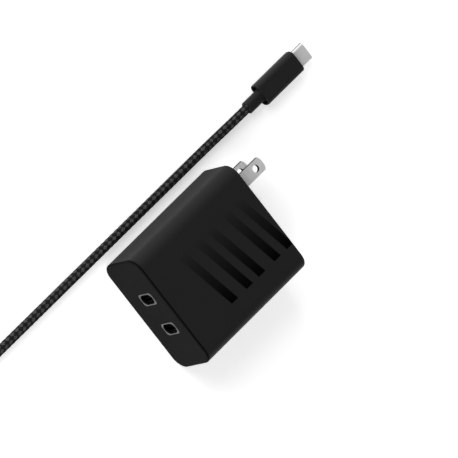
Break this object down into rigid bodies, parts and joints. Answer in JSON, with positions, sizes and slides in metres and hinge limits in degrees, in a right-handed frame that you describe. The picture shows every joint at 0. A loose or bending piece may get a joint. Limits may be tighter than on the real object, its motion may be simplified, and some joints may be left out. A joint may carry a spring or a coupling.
{
  "type": "usb wall charger",
  "caption": "Matte black block charger with USB-C sockets in one end and folding two-pin blades in the other, with its unplugged braided USB-C lead coiled beside it.",
  "frame": {"origin": "centre of the rest face, the large plain face that the charger lies on, at its lowest level", "axes": "+X across the body, away from the lead; +Y from the port end to the plug blades; +Z through the body's thickness, up out of the printed face"},
  "size_m": [0.0671, 0.3088, 0.0271],
  "materials": {
    "body_plastic": "fine matte spark texture, black polycarbonate",
    "gloss_print": "gloss black bars printed on the matte top, fading out to one side",
    "port_rim": "satin grey rim",
    "steel": "plain steel",
    "blade_nickel": "nickel-plated brass, satin",
    "inner_plastic": "black moulded plastic",
    "circuit_board": "green solder mask",
    "insulation": "aramid paper",
    "ferrite": "dark grey ferrite",
    "bobbin_plastic": "natural phenolic and sleeving",
    "tape": "yellow polyester tape",
    "copper": "enamelled copper wire and copper-alloy strip",
    "capacitor_sleeve": "shrink sleeve",
    "aluminium": "bare aluminium",
    "disc_lacquer": "blue lacquer",
    "thermal_pad": "soft filled silicone",
    "cord_braid": "black braid with rows of grey flecks",
    "tie_strap": "black hook-and-loop strap"
  },
  "bodies": {
    "charger": {"housing": "body_plastic", "port_end_cap": "body_plastic", "port_rim_left": "port_rim", "port_rim_right": "port_rim", "receptacle_shell_left": "steel", "receptacle_shell_right": "steel", "blade_pivot_pin": "steel", "detent_spring": "steel", "receptacle_tongue_left": "inner_plastic", "receptacle_tongue_right": "inner_plastic", "port_controller_left": "inner_plastic", "port_controller_right": "inner_plastic", "switch_chip_primary": "inner_plastic", "switch_chip_secondary": "inner_plastic", "blade_tray": "inner_plastic", "bridge_rectifier": "inner_plastic", "port_board_left": "circuit_board", "port_board_right": "circuit_board", "main_board": "circuit_board", "insulation_sheet": "insulation", "transformer_core_lower": "ferrite", "transformer_core_upper": "ferrite", "boost_choke_core": "ferrite", "filter_choke_core": "ferrite", "transformer_bobbin": "bobbin_plastic", "fuse": "bobbin_plastic", "mains_wire_line": "bobbin_plastic", "mains_wire_neutral": "bobbin_plastic", "transformer_winding": "tape", "line_filter_capacitor": "tape", "boost_choke_winding": "copper", "filter_choke_winding_line": "copper", "filter_choke_winding_neutral": "copper", "mains_contact_line": "copper", "mains_contact_neutral": "copper", "bulk_capacitor_1": "capacitor_sleeve", "bulk_capacitor_2": "capacitor_sleeve", "output_capacitor_1": "aluminium", "output_capacitor_2": "aluminium", "output_capacitor_3": "aluminium", "heat_spreader": "aluminium", "isolation_capacitor": "disc_lacquer", "surge_disc": "disc_lacquer", "thermal_pad": "thermal_pad"},
    "blades": {"blade_line": "blade_nickel", "blade_neutral": "blade_nickel", "blade_carrier": "inner_plastic"},
    "lead": {"lead_grip_a": "body_plastic", "lead_grip_b": "body_plastic", "lead_tip_a": "steel", "lead_tip_b": "steel", "lead_strain_relief_a": "inner_plastic", "lead_strain_relief_b": "inner_plastic", "lead_contacts_a": "inner_plastic", "lead_contacts_b": "inner_plastic", "lead_cord": "cord_braid", "lead_cord_tail": "cord_braid", "lead_coil": "cord_braid", "lead_tie": "tie_strap"}
  },
  "joints": [
    {"name": "blade_fold", "type": "hinge", "parent": "charger", "child": "blades", "pos_m": [-0.0165, 0.027, 0.01355], "axis": [0, 0, -1], "range_deg": [0, 90]},
    {"name": "lead_slide", "type": "slide", "parent": "charger", "child": "lead", "axis": [-1, 0, 0], "range_m": [0, 0.06]}
  ]
}
